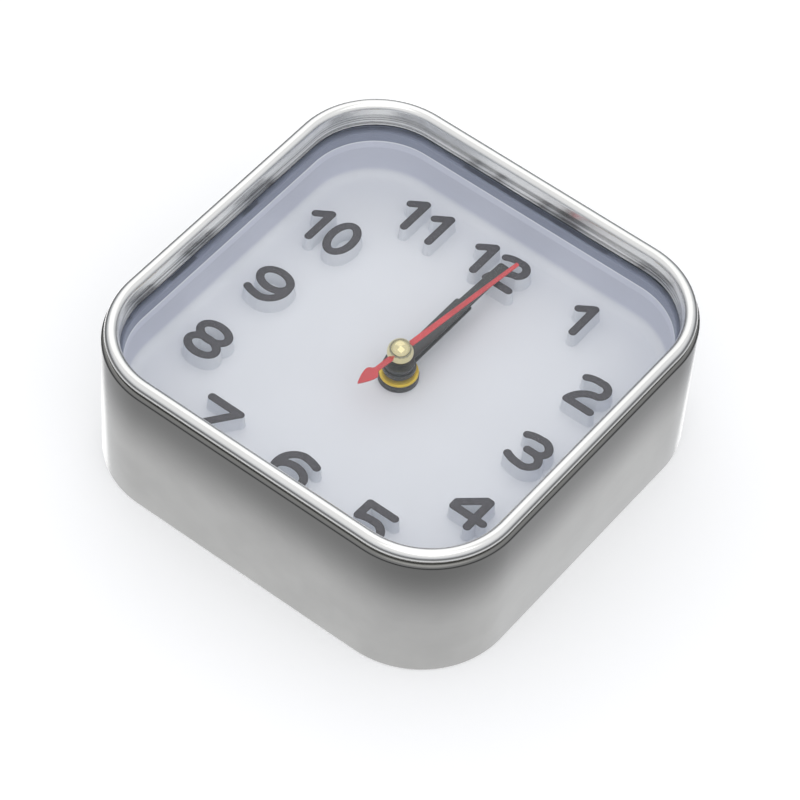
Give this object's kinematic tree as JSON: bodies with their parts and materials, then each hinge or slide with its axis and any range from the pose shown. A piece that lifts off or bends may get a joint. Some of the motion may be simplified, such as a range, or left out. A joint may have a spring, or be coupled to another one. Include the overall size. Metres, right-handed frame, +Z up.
{
  "type": "table clock",
  "caption": "Square table clock with rounded corners, a beaded polished rim, a deep white dial with raised numerals, black hands and a red seconds hand.",
  "frame": {"origin": "centre of the bounding box's bottom face, where the clock stands", "axes": "+Z up, towards 12 o'clock; -Y out of the dial, towards the reader; +X towards 3 o'clock"},
  "size_m": [0.143, 0.0542, 0.143],
  "materials": {
    "case_metal": "satin nickel-plated sheet",
    "bezel_metal": "satin chrome plating",
    "clear_glass": "clear polished flat glass",
    "black_rubber": "soft matte rubber",
    "blue_grey_plastic": "matte blue-grey moulding",
    "dial_plastic": "matte white moulding, numeral tops printed dark",
    "cover_plastic": "matte light grey moulding",
    "screw_steel": "zinc-plated steel",
    "black_plastic": "matte black moulding",
    "brass_metal": "turned yellow brass",
    "natural_plastic": "natural off-white moulding",
    "copper_winding": "enamelled copper wire",
    "stator_iron": "annealed soft iron sheet",
    "board_green": "green circuit board laminate",
    "tin_metal": "tinned sheet metal",
    "cell_wrap": "plain blue sleeve",
    "magnet_black": "sintered magnet",
    "black_metal": "satin black paint",
    "red_metal": "satin coral red paint",
    "gold_metal": "polished pale gold plating"
  },
  "bodies": {
    "clock_body": {"case_shell": "case_metal", "bezel_ring": "bezel_metal", "front_glass": "clear_glass", "glass_gasket": "black_rubber", "spacer_ring": "blue_grey_plastic", "dial": "dial_plastic", "back_cover": "cover_plastic", "cover_screws": "screw_steel", "front_collar": "black_plastic", "shaft_nut": "brass_metal", "rear_washer": "black_rubber", "movement_housing": "black_plastic", "movement_cover": "black_plastic", "bearing_plate": "natural_plastic", "motor_stator": "stator_iron", "coil_bobbin": "natural_plastic", "coil_winding": "copper_winding", "circuit_board": "board_green", "quartz_can": "tin_metal", "control_chip": "black_plastic", "contact_positive": "tin_metal", "contact_negative": "tin_metal", "battery": "cell_wrap"},
    "seconds_arbor": {"seconds_wheel": "natural_plastic", "seconds_hand": "red_metal", "hand_cap": "gold_metal"},
    "intermediate_arbor": {"intermediate_wheel": "natural_plastic"},
    "rotor_arbor": {"motor_rotor": "magnet_black"},
    "third_arbor": {"third_wheel": "natural_plastic"},
    "centre_rotor": {"centre_wheel": "natural_plastic"},
    "minute_cannon": {"minute_tube": "brass_metal", "minute_hand": "black_metal"},
    "minute_work_arbor": {"minute_work_wheel": "natural_plastic"},
    "hour_pipe": {"hour_wheel": "natural_plastic", "hour_hand": "black_metal"},
    "knob_arbor": {"setting_knob": "black_plastic"}
  },
  "joints": [
    {"name": "seconds_spin", "type": "hinge", "parent": "clock_body", "child": "seconds_arbor", "pos_m": [0, 0, 0.0715], "axis": [0, 1, 0], "continuous": true},
    {"name": "intermediate_spin", "type": "hinge", "parent": "clock_body", "child": "intermediate_arbor", "pos_m": [-0.00456, 0, 0.08129], "axis": [0, 1, 0], "continuous": true},
    {"name": "rotor_spin", "type": "hinge", "parent": "clock_body", "child": "rotor_arbor", "pos_m": [-0.01268, 0, 0.08346], "axis": [0, 1, 0], "continuous": true},
    {"name": "third_spin", "type": "hinge", "parent": "clock_body", "child": "third_arbor", "pos_m": [0.0115, 0, 0.07569], "axis": [0, 1, 0], "continuous": true},
    {"name": "centre_spin", "type": "hinge", "parent": "clock_body", "child": "centre_rotor", "pos_m": [0, 0, 0.0715], "axis": [0, 1, 0], "continuous": true},
    {"name": "minute_spin", "type": "hinge", "parent": "clock_body", "child": "minute_cannon", "pos_m": [0, 0, 0.0715], "axis": [0, 1, 0], "continuous": true},
    {"name": "minute_work_spin", "type": "hinge", "parent": "clock_body", "child": "minute_work_arbor", "pos_m": [-0.00837, 0, 0.07223], "axis": [0, 1, 0], "continuous": true},
    {"name": "hour_spin", "type": "hinge", "parent": "clock_body", "child": "hour_pipe", "pos_m": [0, 0, 0.0715], "axis": [0, 1, 0], "continuous": true},
    {"name": "knob_spin", "type": "hinge", "parent": "clock_body", "child": "knob_arbor", "pos_m": [-0.01682, 0, 0.06997], "axis": [0, 1, 0], "continuous": true}
  ],
  "couplings": [
    {"joint": "intermediate_spin", "follows": "seconds_spin", "ratio": -5},
    {"joint": "rotor_spin", "follows": "seconds_spin", "ratio": 30},
    {"joint": "third_spin", "follows": "seconds_spin", "ratio": -0.13333},
    {"joint": "centre_spin", "follows": "seconds_spin", "ratio": 0.016667},
    {"joint": "minute_work_spin", "follows": "minute_spin", "ratio": -0.33333},
    {"joint": "hour_spin", "follows": "minute_spin", "ratio": 0.083333},
    {"joint": "knob_spin", "follows": "minute_spin", "ratio": 0.85714}
  ]
}
